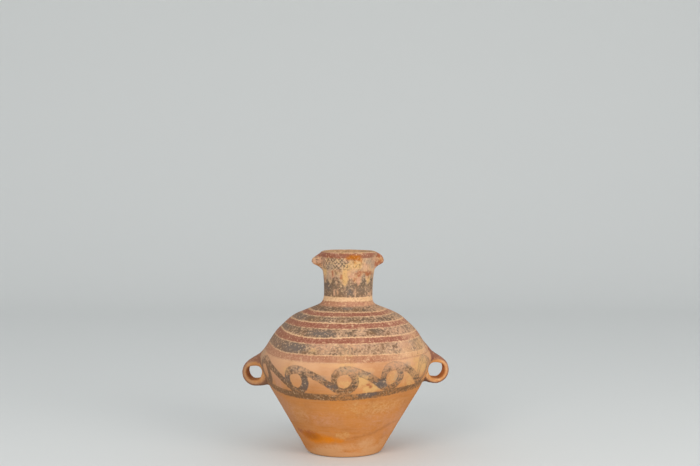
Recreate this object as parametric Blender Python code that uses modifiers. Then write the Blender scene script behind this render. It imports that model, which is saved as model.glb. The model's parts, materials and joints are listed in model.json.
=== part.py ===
"""Two-handled earthenware water jug, built by hand and fired as one piece. Metres, +Z up, foot centre at the origin."""
import math

import bmesh
import bpy

# Heights, stacked from the foot up
BELLY_HEIGHT = 0.165
SHOULDER_RISE = 0.107
NECK_LENGTH = 0.088

# Outside radii
FOOT_RADIUS = 0.068
BELLY_RADIUS = 0.153
NECK_RADIUS = 0.044
LIP_RADIUS = 0.051

# Concave sweep between the shoulder and the neck
SWEEP_WIDTH = 0.025
SWEEP_DROP = 0.016
SWEEP_SLOPE = math.radians(77)

# Slopes of the wall away from the vertical
FOOT_SLOPE = math.radians(25)
LIP_SLOPE = math.radians(12)

# Clay thickness and edges
WALL = 0.007
FLOOR_THICKNESS = 0.009
FLOOR_ROUND = 0.012
FOOT_EDGE = 0.002
LIP_ROUND = 0.003

# The jug leans toward +X as it rises, and its neck sits a little further over
LEAN = 0.0058
NECK_SHIFT = 0.0027

# Strap handles, each set toward the back of the jug
LEFT_HANDLE_HEIGHT = 0.143
RIGHT_HANDLE_HEIGHT = 0.146
LOOP_RADIUS = 0.0248
LOOP_STANDOFF = 0.0135
STRAP_THICKNESS = 0.0075
STRAP_WIDTH = 0.037
STRAP_EDGE = 0.002
STRAP_TOP_RISE = 0.041
HANDLE_SWING = math.radians(6)

# Lugs under the lip
LUG_REACH = 0.0135
LUG_HEIGHT = 0.029
LUG_DROP = 0.0022
LUG_TIP_RADIUS = 0.0075
LUG_THICKNESS = 0.014
LUG_EDGE = 0.003
LUG_SWING = math.radians(6)

# Fineness of the faceted clay
TURN_STEPS = 60
WALL_POINTS = 9
ROUND_POINTS = 4
LOOP_POINTS = 24

NECK_HEIGHT = BELLY_HEIGHT + SHOULDER_RISE
JUG_HEIGHT = NECK_HEIGHT + NECK_LENGTH
MERGE = 0.00001
CLAY_COLOUR = (0.56, 0.30, 0.15, 1.0)
CLAY_ROUGHNESS = 0.85


def bezier(start, start_pull, end_pull, end, count):
    """Points of a cubic curve, each an (across, up) pair; the start is left out."""
    points = []
    for i in range(1, count + 1):
        t = i / count
        weights = ((1 - t) ** 3, 3 * (1 - t) ** 2 * t, 3 * (1 - t) * t * t, t ** 3)
        pulls = (start, start_pull, end_pull, end)
        points.append(tuple(sum(w * p[k] for w, p in zip(weights, pulls)) for k in (0, 1)))
    return points


def arc(centre, radius, first, last, count):
    """Points of an arc between two angles, both ends included."""
    angles = [first + (last - first) * i / count for i in range(count + 1)]
    return [(centre[0] + radius * math.cos(a), centre[1] + radius * math.sin(a)) for a in angles]


def outer_profile():
    """Outside of the turned wall as (radius, height) pairs, from the foot's corner up to the lip's corner."""
    sweep_start = (NECK_RADIUS + SWEEP_WIDTH, NECK_HEIGHT - SWEEP_DROP)
    sweep_way = (-math.sin(SWEEP_SLOPE), math.cos(SWEEP_SLOPE))
    points = [(FOOT_RADIUS, 0.0)]
    lean_out = 0.34 * BELLY_HEIGHT
    points += bezier(
        points[-1],
        (FOOT_RADIUS + lean_out * math.sin(FOOT_SLOPE), lean_out * math.cos(FOOT_SLOPE)),
        (BELLY_RADIUS, 0.79 * BELLY_HEIGHT),
        (BELLY_RADIUS, BELLY_HEIGHT),
        WALL_POINTS,
    )
    dome_pull = 0.48 * (BELLY_RADIUS - sweep_start[0])
    points += bezier(
        points[-1],
        (BELLY_RADIUS, BELLY_HEIGHT + 0.27 * SHOULDER_RISE),
        (sweep_start[0] - dome_pull * sweep_way[0], sweep_start[1] - dome_pull * sweep_way[1]),
        sweep_start,
        WALL_POINTS,
    )
    sweep_pull = 0.7 * SWEEP_WIDTH
    points += bezier(
        points[-1],
        (sweep_start[0] + sweep_pull * sweep_way[0], sweep_start[1] + sweep_pull * sweep_way[1]),
        (NECK_RADIUS, NECK_HEIGHT - 0.3 * SWEEP_DROP),
        (NECK_RADIUS, NECK_HEIGHT),
        ROUND_POINTS,
    )
    lip_pull = 0.2 * NECK_LENGTH
    points += bezier(
        points[-1],
        (NECK_RADIUS, NECK_HEIGHT + 0.3 * NECK_LENGTH),
        (LIP_RADIUS - lip_pull * math.sin(LIP_SLOPE), JUG_HEIGHT - lip_pull * math.cos(LIP_SLOPE)),
        (LIP_RADIUS, JUG_HEIGHT),
        WALL_POINTS // 2,
    )
    return points


def radius_at(profile, height):
    """Radius of a profile at a height, between its two nearest points."""
    for (low_radius, low), (high_radius, high) in zip(profile, profile[1:]):
        if low <= height <= high:
            return low_radius + (high_radius - low_radius) * (height - low) / (high - low)
    return profile[-1][0]


def outer_radius(height):
    """Outside radius of the turned wall at a height."""
    return radius_at(outer_profile(), height)


def inset_profile():
    """The outer profile moved one wall thickness into the vessel."""
    points = outer_profile()
    inset = []
    for i, (radius, height) in enumerate(points):
        before = points[max(i - 1, 0)]
        after = points[min(i + 1, len(points) - 1)]
        length = math.dist(before, after)
        across = (after[0] - before[0]) / length
        up = (after[1] - before[1]) / length
        inset.append((radius - WALL * up, height + WALL * across))
    return inset


def rounded_outline():
    """Closed outside of the vessel, from the centre of the top down to the centre of the foot."""
    points = outer_profile()
    low = [p for p in points if p[1] > 3 * FOOT_EDGE and p[1] < JUG_HEIGHT - 2 * LIP_ROUND]
    foot = arc((FOOT_RADIUS, FOOT_EDGE), FOOT_EDGE, 0.0, -math.pi / 2, ROUND_POINTS)
    lip = arc((LIP_RADIUS - LIP_ROUND, JUG_HEIGHT - LIP_ROUND), LIP_ROUND, math.pi / 2, 0.0, ROUND_POINTS)
    return [(0.0, JUG_HEIGHT)] + lip + low[::-1] + foot + [(0.0, 0.0)]


def hollow_outline():
    """Closed outside of the hollow, from above the mouth down to the centre of the floor."""
    mouth_radius = LIP_RADIUS - WALL
    above = JUG_HEIGHT + WALL
    lip_centre = (mouth_radius + LIP_ROUND, JUG_HEIGHT - LIP_ROUND)
    lip = arc(lip_centre, LIP_ROUND, math.pi / 2, math.pi, ROUND_POINTS)
    inset = inset_profile()
    corner_height = FLOOR_THICKNESS + FLOOR_ROUND
    corner_reach = FLOOR_ROUND / math.cos(FOOT_SLOPE)
    corner_centre = (radius_at(inset, corner_height) - corner_reach, corner_height)
    corner = arc(corner_centre, FLOOR_ROUND, -FOOT_SLOPE, -math.pi / 2, ROUND_POINTS)
    wall = [p for p in inset if corner_height < p[1] < JUG_HEIGHT - 2 * LIP_ROUND]
    return [(0.0, above), (lip[0][0], above)] + lip + wall[::-1] + corner + [(0.0, FLOOR_THICKNESS)]


def new_collection(name):
    collection = bpy.data.collections.new(name)
    bpy.context.scene.collection.children.link(collection)
    return collection


def link_mesh(mesh, name, collection):
    obj = bpy.data.objects.new(name, mesh)
    collection.objects.link(obj)
    return obj


def turned(name, outline, collection):
    """A solid of revolution: the outline's points spun about Z with a Screw modifier."""
    mesh = bpy.data.meshes.new(name)
    edges = [(i, i + 1) for i in range(len(outline) - 1)]
    mesh.from_pydata([(radius, 0.0, height) for radius, height in outline], edges, [])
    obj = link_mesh(mesh, name, collection)
    spin = obj.modifiers.new("turn", "SCREW")
    spin.steps = TURN_STEPS
    spin.render_steps = TURN_STEPS
    spin.use_merge_vertices = True
    spin.merge_threshold = MERGE
    spin.use_smooth_shade = True
    return obj


def slab(name, outlines, thickness, edge, height, turn, collection):
    """An upright slab of clay with rounded edges, cut to flat outlines of (outward, up) points."""
    curve = bpy.data.curves.new(name, "CURVE")
    curve.dimensions = "2D"
    curve.fill_mode = "BOTH"
    curve.extrude = thickness / 2 - edge
    curve.bevel_depth = edge
    curve.bevel_resolution = 1
    curve.offset = -edge
    for outline in outlines:
        spline = curve.splines.new("POLY")
        spline.points.add(len(outline) - 1)
        for point, (outward, up) in zip(spline.points, outline):
            point.co = (outward, up, 0.0, 1.0)
        spline.use_cyclic_u = True
    drawn = bpy.data.objects.new(name + "_outline", curve)
    collection.objects.link(drawn)
    drawn.location = (0.0, 0.0, height)
    drawn.rotation_euler = (math.pi / 2, 0.0, turn)
    bpy.context.view_layer.update()
    depsgraph = bpy.context.evaluated_depsgraph_get()
    mesh = bpy.data.meshes.new_from_object(drawn.evaluated_get(depsgraph))
    obj = link_mesh(mesh, name, collection)
    obj.matrix_world = drawn.matrix_world.copy()
    bpy.data.objects.remove(drawn)
    bm = bmesh.new()
    bm.from_mesh(mesh)
    bmesh.ops.remove_doubles(bm, verts=bm.verts, dist=MERGE)
    bmesh.ops.recalc_face_normals(bm, faces=bm.faces)
    bm.to_mesh(mesh)
    bm.free()
    return obj


def handle_outlines(height):
    """A strap handle seen from the side: its outside, which flows off the shoulder, and its round eye."""
    centre = (outer_radius(height) + LOOP_STANDOFF, 0.0)
    top_angle = math.radians(70)
    low_angle = math.radians(-165)
    loop = arc(centre, LOOP_RADIUS, top_angle, low_angle, LOOP_POINTS)
    buried = centre[0] - LOOP_RADIUS - 2 * WALL
    root = (outer_radius(height + STRAP_TOP_RISE) - WALL / 4, STRAP_TOP_RISE)
    flow = bezier(
        root,
        (root[0] + 0.25 * STRAP_TOP_RISE, 0.72 * STRAP_TOP_RISE),
        (loop[0][0] - 0.3 * LOOP_RADIUS, loop[0][1] + 0.12 * LOOP_RADIUS),
        loop[0],
        ROUND_POINTS,
    )
    outside = [(buried, loop[-1][1]), (buried, root[1]), root] + flow[:-1] + loop
    eye = arc(centre, LOOP_RADIUS - STRAP_THICKNESS, 0.0, math.tau, LOOP_POINTS)[:-1]
    return [outside, eye]


def lug_outline():
    """A rim lug seen from the side, from inside the neck out to its rounded tip."""
    buried = NECK_RADIUS - 2 * WALL
    top = -LUG_DROP
    tip_centre = (LIP_RADIUS + LUG_REACH - LUG_TIP_RADIUS, top - LUG_HEIGHT / 2)
    tip = arc(tip_centre, LUG_TIP_RADIUS, math.radians(55), math.radians(-60), ROUND_POINTS)
    shoulder = (LIP_RADIUS, top)
    return [(buried, top), shoulder] + tip + [(NECK_RADIUS, top - LUG_HEIGHT), (buried, top - LUG_HEIGHT)]


def combine(body, other, operation):
    """Join another solid to the body, or cut it away."""
    boolean = body.modifiers.new(operation.lower() + " " + other.name, "BOOLEAN")
    boolean.operation = operation
    boolean.solver = "EXACT"
    boolean.object = other
    other.hide_render = True
    other.display_type = "WIRE"


def clay_material():
    material = bpy.data.materials.new("earthenware")
    material.use_nodes = True
    shader = material.node_tree.nodes["Principled BSDF"]
    shader.inputs["Base Color"].default_value = CLAY_COLOUR
    shader.inputs["Roughness"].default_value = CLAY_ROUGHNESS
    shader.inputs["Metallic"].default_value = 0.0
    return material


def lean_at(height):
    """How far the clay has moved toward +X at a height."""
    rise = max(height, 0.0) / JUG_HEIGHT
    start = NECK_HEIGHT - 2 * SWEEP_DROP
    up_neck = min(max((height - start) / (NECK_HEIGHT + SWEEP_DROP - start), 0.0), 1.0)
    return LEAN * rise + NECK_SHIFT * up_neck * up_neck * (3 - 2 * up_neck)


def fired(body, name, collection):
    """The joined clay as one mesh, leaning as the jug does, with its smooth faces shaded smooth."""
    bpy.context.view_layer.update()
    depsgraph = bpy.context.evaluated_depsgraph_get()
    mesh = bpy.data.meshes.new_from_object(body.evaluated_get(depsgraph))
    mesh.name = name
    for vertex in mesh.vertices:
        vertex.co.x += lean_at(vertex.co.z)
    bm = bmesh.new()
    bm.from_mesh(mesh)
    bmesh.ops.remove_doubles(bm, verts=bm.verts, dist=MERGE)
    bmesh.ops.recalc_face_normals(bm, faces=bm.faces)
    bm.to_mesh(mesh)
    bm.free()
    mesh.materials.clear()
    mesh.materials.append(clay_material())
    mesh.shade_smooth()
    mesh.set_sharp_from_angle(angle=math.radians(40))
    return link_mesh(mesh, name, collection)


def main():
    for obj in list(bpy.data.objects):
        bpy.data.objects.remove(obj)
    jug_parts = new_collection("water jug")
    cutters = new_collection("clay blanks and cutters")
    body = turned("body_blank", rounded_outline(), cutters)
    left = slab("left_handle", handle_outlines(LEFT_HANDLE_HEIGHT), STRAP_WIDTH, STRAP_EDGE,
                LEFT_HANDLE_HEIGHT, math.pi - HANDLE_SWING, cutters)
    right = slab("right_handle", handle_outlines(RIGHT_HANDLE_HEIGHT), STRAP_WIDTH, STRAP_EDGE,
                 RIGHT_HANDLE_HEIGHT, HANDLE_SWING, cutters)
    left_lug = slab("left_lug", [lug_outline()], LUG_THICKNESS, LUG_EDGE, JUG_HEIGHT, math.pi - LUG_SWING, cutters)
    right_lug = slab("right_lug", [lug_outline()], LUG_THICKNESS, LUG_EDGE, JUG_HEIGHT, LUG_SWING, cutters)
    hollow = turned("hollow", hollow_outline(), cutters)
    for added in (left, right, left_lug, right_lug):
        combine(body, added, "UNION")
    combine(body, hollow, "DIFFERENCE")
    fired(body, "jug", jug_parts)
    body.hide_render = True
    body.display_type = "WIRE"


main()
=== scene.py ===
"""Looks of the painted two-handled water jug: worn bands and running scrolls on hand-built earthenware."""
import json
import math

import bpy
import numpy as np
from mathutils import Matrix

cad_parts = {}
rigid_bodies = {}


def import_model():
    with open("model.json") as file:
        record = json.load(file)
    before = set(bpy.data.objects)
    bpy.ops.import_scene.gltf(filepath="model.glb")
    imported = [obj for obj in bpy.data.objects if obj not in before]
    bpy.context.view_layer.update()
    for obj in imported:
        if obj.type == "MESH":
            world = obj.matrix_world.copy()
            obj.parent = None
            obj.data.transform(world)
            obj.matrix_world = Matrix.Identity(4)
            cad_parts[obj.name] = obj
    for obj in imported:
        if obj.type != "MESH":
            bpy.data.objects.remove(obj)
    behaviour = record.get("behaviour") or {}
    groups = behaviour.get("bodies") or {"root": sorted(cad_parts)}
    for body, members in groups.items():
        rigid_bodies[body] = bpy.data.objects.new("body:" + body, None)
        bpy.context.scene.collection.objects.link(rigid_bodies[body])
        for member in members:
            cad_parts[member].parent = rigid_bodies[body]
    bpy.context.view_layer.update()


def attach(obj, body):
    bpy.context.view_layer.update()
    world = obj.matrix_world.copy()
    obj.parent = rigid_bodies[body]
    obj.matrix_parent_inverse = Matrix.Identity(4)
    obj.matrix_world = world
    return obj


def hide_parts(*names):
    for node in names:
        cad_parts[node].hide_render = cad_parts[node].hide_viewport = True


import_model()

# Outside of the pot as (radius, height) in metres, from the foot to the lip
OUTSIDE = (
    (0.0660, 0.0000), (0.0700, 0.0050), (0.0826, 0.0270), (0.1034, 0.0630), (0.1243, 0.0990),
    (0.1378, 0.1220), (0.1476, 0.1440), (0.1518, 0.1560), (0.1531, 0.1660), (0.1512, 0.1750),
    (0.1417, 0.1940), (0.1271, 0.2160), (0.1091, 0.2340), (0.0925, 0.2465), (0.0700, 0.2562),
    (0.0530, 0.2636), (0.0465, 0.2690), (0.0440, 0.2800), (0.0445, 0.3060), (0.0464, 0.3240),
    (0.0473, 0.3380), (0.0488, 0.3500), (0.0505, 0.3570),
)
JUG_HEIGHT = 0.360
WALL = 0.007
FLOOR_THICKNESS = 0.009
LIP_ROUND = 0.003
LIP = ((0.0508, JUG_HEIGHT - LIP_ROUND), (0.0503, JUG_HEIGHT - 0.0010), (0.0488, JUG_HEIGHT))
# Mouth of the hollow, which opens above the lip
MOUTH = ((0.0435, JUG_HEIGHT - 0.0060), (0.0450, JUG_HEIGHT - 0.0015), (0.0470, JUG_HEIGHT + 0.0005),
         (0.0490, JUG_HEIGHT + 0.0040))
# How far below the lip the hollow's wall ends and its mouth begins to widen
MOUTH_DEPTH = 0.012
# Rounded corner inside the foot: (distance in from the wall, height above the floor)
FLOOR_CORNER = ((0.018, 0.0), (0.010, 0.0015), (0.003, 0.006))
# Heights above the floor where the corner's side is read off the wall, and where the wall itself begins
FLOOR_CORNER_SIDE = 0.009
FLOOR_CORNER_RISE = 0.014

# The pot leans toward +X as it rises, and its neck sits a little further over
LEAN = 0.0058
NECK_SHIFT = 0.0027
NECK_START = 0.240
NECK_END = 0.288

# Strap handles
LEFT_HANDLE_HEIGHT = 0.141
RIGHT_HANDLE_HEIGHT = 0.145
LEFT_STANDOFF = 0.0150
RIGHT_STANDOFF = 0.0137
LOOP_RADIUS = 0.0250
STRAP_THICKNESS = 0.0080
# Where each strap's lower root enters the body, seen from the middle of the loop
LEFT_ROOT = ((-0.0300, -0.0160), (-0.0200, -0.0182), (-0.0095, -0.0202))
RIGHT_ROOT = ((-0.0300, -0.0125), (-0.0200, -0.0162), (-0.0095, -0.0196))
# Where both straps run up onto the shoulder
STRAP_RISE = ((0.0035, 0.0225), (-0.0040, 0.0265), (-0.0100, 0.0325), (-0.0165, 0.0400), (-0.0230, 0.0480))
LOOP_TOP_ANGLE = 62
# Pads of clay that close each loop against the body: (inner radius where it starts, inner radius further on,
# thickness, first angle, last angle)
LEFT_PADS = (
    (0.0172, 0.0113, 0.0078, 18, 150), (0.0170, 0.0170, 0.0135, 88, 150),
    (0.0172, 0.0150, 0.0060, 300, 225), (0.0135, 0.0113, 0.0140, 232, 150),
)
RIGHT_PADS = (
    (0.0172, 0.0132, 0.0075, 18, 150), (0.0170, 0.0170, 0.0135, 88, 150),
    (0.0172, 0.0152, 0.0055, 300, 225), (0.0135, 0.0122, 0.0135, 234, 150),
)
STRAP_WIDTH = 0.036
STRAP_EDGE = 0.0029
PAD_WIDTH = 0.035
ROOT_WIDTH = 0.043
HANDLE_SWING = math.radians(6)

# Lugs under the lip
LUG_SWING = math.radians(6)
LUG_EDGE = 0.0045
# Slices of each lug outward from the neck: (distance from the axis, lower edge, upper edge, thickness)
LEFT_LUG = (
    (0.0400, 0.3215, 0.3570, 0.0160), (0.0480, 0.3265, 0.3575, 0.0158), (0.0545, 0.3320, 0.3550, 0.0150),
    (0.0610, 0.3350, 0.3502, 0.0135), (0.0652, 0.3370, 0.3472, 0.0110), (0.0672, 0.3392, 0.3446, 0.0070),
)
RIGHT_LUG = (
    (0.0400, 0.3235, 0.3575, 0.0160), (0.0480, 0.3285, 0.3585, 0.0158), (0.0540, 0.3338, 0.3566, 0.0150),
    (0.0594, 0.3362, 0.3528, 0.0135), (0.0624, 0.3382, 0.3486, 0.0110), (0.0640, 0.3405, 0.3456, 0.0070),
)

# Fineness of the modelled clay
TURN_VERTICES = 96
CLAY_GRAIN = 0.0025
INNER_FACES_KEPT = 0.68
# Joints that are rubbed down: (least distance to a side, least and most y, least and most height,
# least and most distance out of the wall, rubs)
JOINTS = (
    (0.110, -0.012, 0.048, 0.100, 0.200, -0.006, 0.006, 10),
    (0.035, -0.020, 0.020, 0.315, 0.400, -0.002, 0.006, 5),
)
# Lumps of the hand-built wall: (name, size, depth), growing from nothing just above the flat of the foot
LUMPS = (("broad swells", 0.075, 0.0022), ("finger dents", 0.022, 0.0007))
LUMPS_FROM = 0.003
LUMPS_RISE = 0.02
FOOT_FLAT = 0.0016


def smooth_curve(points, steps):
    """Points on a rounded curve through the given points."""
    curve = []
    last = len(points) - 1
    for i in range(last):
        before, start, end, after = (np.array(points[min(max(i + k, 0), last)]) for k in (-1, 0, 1, 2))
        for step in range(steps):
            t = step / steps
            bend = (2 * before - 5 * start + 4 * end - after) * t ** 2
            twist = (3 * start - before - 3 * end + after) * t ** 3
            curve.append(0.5 * (2 * start + (end - before) * t + bend + twist))
    curve.append(np.array(points[-1]))
    return curve


PROFILE = np.array(smooth_curve(OUTSIDE, 3))


def outer_radius(height):
    """Radius of the outside at a height."""
    return np.interp(height, PROFILE[:, 1], PROFILE[:, 0])


def lean_at(height):
    """How far the pot has moved toward +X at a height."""
    up_neck = np.clip((height - NECK_START) / (NECK_END - NECK_START), 0, 1)
    return LEAN * height / JUG_HEIGHT + NECK_SHIFT * up_neck * up_neck * (3 - 2 * up_neck)


def only(piece):
    """Make one piece the selected and active one."""
    for other in bpy.context.view_layer.objects:
        other.select_set(other is piece)
    bpy.context.view_layer.objects.active = piece


def apply_modifiers(piece):
    """Apply all of a piece's modifiers in turn."""
    only(piece)
    for modifier in list(piece.modifiers):
        bpy.ops.object.modifier_apply(modifier=modifier.name)


def draw_out(step):
    """Pull the selected end of the clay out by a step."""
    bpy.ops.mesh.extrude_region_move(TRANSFORM_OT_translate={"value": step})


def set_down(piece, turn):
    """End the drawing out, with all faces turned outward, and swing the piece round the pot's axis."""
    bpy.ops.mesh.select_all(action="SELECT")
    bpy.ops.mesh.normals_make_consistent(inside=False)
    bpy.ops.object.mode_set(mode="OBJECT")
    piece.rotation_euler = (0, 0, turn)
    bpy.ops.object.transform_apply(location=True, rotation=True, scale=True)


def turn_clay(name, outline):
    """A closed turned form, drawn up ring by ring from a disc of clay; outline is (radius, height)."""
    bpy.ops.object.select_all(action="DESELECT")
    first_radius, first_height = outline[0]
    bpy.ops.mesh.primitive_circle_add(
        vertices=TURN_VERTICES, radius=first_radius, fill_type="NGON", location=(0, 0, first_height))
    piece = bpy.context.object
    piece.name = name
    bpy.ops.object.mode_set(mode="EDIT")
    bpy.ops.mesh.select_all(action="SELECT")
    for (radius, height), (next_radius, next_height) in zip(outline, outline[1:]):
        draw_out((0, 0, next_height - height))
        spread = next_radius / radius
        bpy.ops.transform.resize(value=(spread, spread, 1), center_override=(0, 0, next_height))
    set_down(piece, 0)
    return piece


def outside_outline():
    """The outside from the foot up, closed by a rounded lip."""
    return [(r, z) for r, z in PROFILE if z < JUG_HEIGHT - LIP_ROUND] + list(LIP)


def hollow_outline():
    """The outside moved one wall inward, with a rounded floor and a mouth that opens above the lip."""
    ways = np.gradient(PROFILE, axis=0)
    ways /= np.linalg.norm(ways, axis=1)[:, None]
    inset = PROFILE + WALL * np.column_stack((-ways[:, 1], ways[:, 0]))
    wall = [(r, z) for r, z in inset if FLOOR_THICKNESS + FLOOR_CORNER_RISE < z < JUG_HEIGHT - MOUTH_DEPTH]
    side = np.interp(FLOOR_THICKNESS + FLOOR_CORNER_SIDE, inset[:, 1], inset[:, 0])
    floor = [(side - inward, FLOOR_THICKNESS + up) for inward, up in FLOOR_CORNER]
    return floor + wall + list(MOUTH)


def strap_path(height, standoff, root):
    """Middle of a strap in the XZ plane, from its lower root round the loop and up onto the shoulder."""
    centre = outer_radius(height) + standoff
    middle = LOOP_RADIUS - STRAP_THICKNESS / 2
    angles = np.radians(np.linspace(-90, LOOP_TOP_ANGLE, 16))
    loop = tuple((middle * math.cos(a), middle * math.sin(a)) for a in angles)
    return [(centre + across, height + up) for across, up in root + loop + STRAP_RISE]


def pad_path(height, standoff, first_radius, inner, thickness, start, end):
    """Middle of a pad inside a loop, easing from its first inner radius to the next over its first part."""
    centre = outer_radius(height) + standoff
    along = np.linspace(0, 1, 12)
    left = np.clip(1 - along / 0.45, 0, 1)
    middles = inner + (first_radius - inner) * left * left * (3 - 2 * left) + thickness / 2
    angles = np.radians(start + (end - start) * along)
    return [(centre + r * math.cos(a), height + r * math.sin(a)) for r, a in zip(middles, angles)]


def cut_slab(name, place, tip, size, edge):
    """A round-cornered rectangle of clay, tipped about Y and ready to be drawn out."""
    bpy.ops.object.select_all(action="DESELECT")
    bpy.ops.mesh.primitive_plane_add(size=1, location=place, rotation=(0, tip, 0))
    slab = bpy.context.object
    slab.name = name
    slab.scale = size
    bpy.ops.object.transform_apply(location=True, rotation=True, scale=True)
    bpy.ops.object.mode_set(mode="EDIT")
    bpy.ops.mesh.select_all(action="SELECT")
    bpy.ops.mesh.bevel(offset=edge, segments=4, affect="VERTICES")
    return slab


def roll_strap(name, path, thickness, turn, first_width):
    """A flat strap of clay, bent round and laid against the pot, spreading where it is rooted in the body."""
    count = len(path) - 1
    ways = [math.atan2(path[min(i + 1, count)][1] - path[max(i - 1, 0)][1],
                       path[min(i + 1, count)][0] - path[max(i - 1, 0)][0]) for i in range(count + 1)]
    start = (path[0][0], 0, path[0][1])
    edge = min(STRAP_EDGE, 0.36 * thickness)
    strap = cut_slab(name, start, math.pi / 2 - ways[0], (thickness, first_width, 1), edge)
    width = first_width
    for i in range(count):
        (x, z), (next_x, next_z) = path[i], path[i + 1]
        centre = (next_x, 0, next_z)
        draw_out((next_x - x, 0, next_z - z))
        bend = math.remainder(ways[i + 1] - ways[i], math.tau)
        bpy.ops.transform.rotate(value=bend, orient_axis="Y", center_override=centre)
        done = (i + 1) / count
        next_width = (STRAP_WIDTH + (first_width - STRAP_WIDTH) * max(0.0, 1 - 4 * done) ** 2
                      + (ROOT_WIDTH - STRAP_WIDTH) * max(0.0, 4 * done - 3) ** 2)
        bpy.ops.transform.resize(value=(1, next_width / width, 1), center_override=centre)
        width = next_width
    set_down(strap, turn)
    return strap


def pinch_lug(name, slices, turn):
    """A small ear of clay under the lip, drawn out slice by slice and thinner toward its tip."""
    place, low, high, thickness = slices[0]
    middle = (place, 0, (low + high) / 2)
    lug = cut_slab(name, middle, math.pi / 2, (high - low, thickness, 1), LUG_EDGE)
    for near, far in zip(slices, slices[1:]):
        near_middle = (near[1] + near[2]) / 2
        far_middle = (far[1] + far[2]) / 2
        draw_out((far[0] - near[0], 0, far_middle - near_middle))
        taper = (1, far[3] / near[3], (far[2] - far[1]) / (near[2] - near[1]))
        bpy.ops.transform.resize(value=taper, center_override=(far[0], 0, far_middle))
    set_down(lug, turn)
    return lug


def lute(body, other, operation):
    """Join another piece of clay to the body, or cut it away."""
    joint = body.modifiers.new(other.name, "BOOLEAN")
    joint.operation = operation
    joint.solver = "MANIFOLD"
    joint.object = other
    apply_modifiers(body)
    bpy.data.objects.remove(other)


def vertex_places(piece):
    """Places of a piece's vertices, one row each."""
    places = np.empty(len(piece.data.vertices) * 3)
    piece.data.vertices.foreach_get("co", places)
    return places.reshape(-1, 3)


def move_vertices(piece, places):
    """Put a piece's vertices at these places."""
    piece.data.vertices.foreach_set("co", places.ravel())
    piece.data.update()


def smooth_where(piece, chosen, repeats):
    """Rub down the chosen vertices."""
    bpy.ops.object.mode_set(mode="OBJECT")
    only(piece)
    bpy.ops.object.mode_set(mode="EDIT")
    bpy.ops.mesh.select_mode(type="VERT")
    bpy.ops.mesh.select_all(action="DESELECT")
    bpy.ops.object.mode_set(mode="OBJECT")
    piece.data.vertices.foreach_set("select", chosen)
    bpy.ops.object.mode_set(mode="EDIT")
    bpy.ops.mesh.vertices_smooth(factor=0.5, repeat=repeats)
    bpy.ops.object.mode_set(mode="OBJECT")


def unevenness(piece, name, size, depth, group):
    """Push the clay in and out by soft lumps of one size."""
    lumps = bpy.data.textures.new(name, "CLOUDS")
    lumps.noise_scale = size
    lumps.noise_depth = 1
    press = piece.modifiers.new(name, "DISPLACE")
    press.texture = lumps
    press.texture_coords = "LOCAL"
    press.strength = depth
    press.mid_level = 0.5
    press.vertex_group = group
    apply_modifiers(piece)


def build_pot():
    """Body, handles and lugs joined and hollowed as one wall of clay."""
    pot = turn_clay("painted_jug", outside_outline())
    handles = (("left", LEFT_HANDLE_HEIGHT, LEFT_STANDOFF, LEFT_ROOT, LEFT_PADS, math.pi - HANDLE_SWING),
               ("right", RIGHT_HANDLE_HEIGHT, RIGHT_STANDOFF, RIGHT_ROOT, RIGHT_PADS, HANDLE_SWING))
    for side, height, standoff, root, pads, turn in handles:
        path = strap_path(height, standoff, root)
        lute(pot, roll_strap(side + "_strap", path, STRAP_THICKNESS, turn, ROOT_WIDTH), "UNION")
        for first_radius, inner, thickness, start, end in pads:
            path = pad_path(height, standoff, first_radius, inner, thickness, start, end)
            lute(pot, roll_strap(side + "_pad", path, thickness, turn, PAD_WIDTH), "UNION")
    lute(pot, pinch_lug("left_lug", LEFT_LUG, math.pi - LUG_SWING), "UNION")
    lute(pot, pinch_lug("right_lug", RIGHT_LUG, LUG_SWING), "UNION")
    lute(pot, turn_clay("hollow", hollow_outline()), "DIFFERENCE")
    only(pot)
    pot.data.remesh_voxel_size = CLAY_GRAIN
    bpy.ops.object.voxel_remesh()
    return pot


def thin_inside(pot):
    """Fewer faces on the inner wall, which the outside's painting doesn't need."""
    places = vertex_places(pot)
    reach = np.hypot(places[:, 0], places[:, 1])
    inner = (reach < outer_radius(places[:, 2]) - 0.6 * WALL) & (places[:, 2] > FLOOR_THICKNESS / 2)
    inner &= places[:, 2] < JUG_HEIGHT - MOUTH_DEPTH
    group = pot.vertex_groups.new(name="inner wall")
    group.add(np.flatnonzero(inner).tolist(), 1.0, "REPLACE")
    thin = pot.modifiers.new("fewer faces inside", "DECIMATE")
    thin.ratio = INNER_FACES_KEPT
    thin.vertex_group = group.name
    apply_modifiers(pot)
    pot.vertex_groups.remove(pot.vertex_groups["inner wall"])


def finish_clay(pot):
    """Rub down the joints, then make the wall uneven, all but the flat of the foot."""
    places = vertex_places(pot)
    x, y, z = places.T
    out = np.hypot(x, y) - outer_radius(z)
    smooth_where(pot, np.ones(len(places), dtype=bool), 3)
    for side, front, back, low, high, sunk, proud, rubs in JOINTS:
        joint = (np.abs(x) > side) & (y > front) & (y < back) & (z > low) & (z < high)
        smooth_where(pot, joint & (out > sunk) & (out < proud), rubs)
    group = pot.vertex_groups.new(name="above foot")
    places = vertex_places(pot)
    share = np.clip((places[:, 2] - LUMPS_FROM) / LUMPS_RISE, 0, 1)
    for step in range(1, 9):
        members = np.flatnonzero(np.round(share * 8) == step).tolist()
        group.add(members, step / 8, "REPLACE")
    for name, size, depth in LUMPS:
        unevenness(pot, name, size, depth, group.name)
    pot.vertex_groups.remove(pot.vertex_groups["above foot"])
    places = vertex_places(pot)
    places[:, 0] += lean_at(places[:, 2])
    low = places[:, 2] < FOOT_FLAT
    places[low, 2] = np.maximum(places[low, 2], 0)
    move_vertices(pot, places)
    only(pot)
    bpy.ops.object.shade_smooth()


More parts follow.
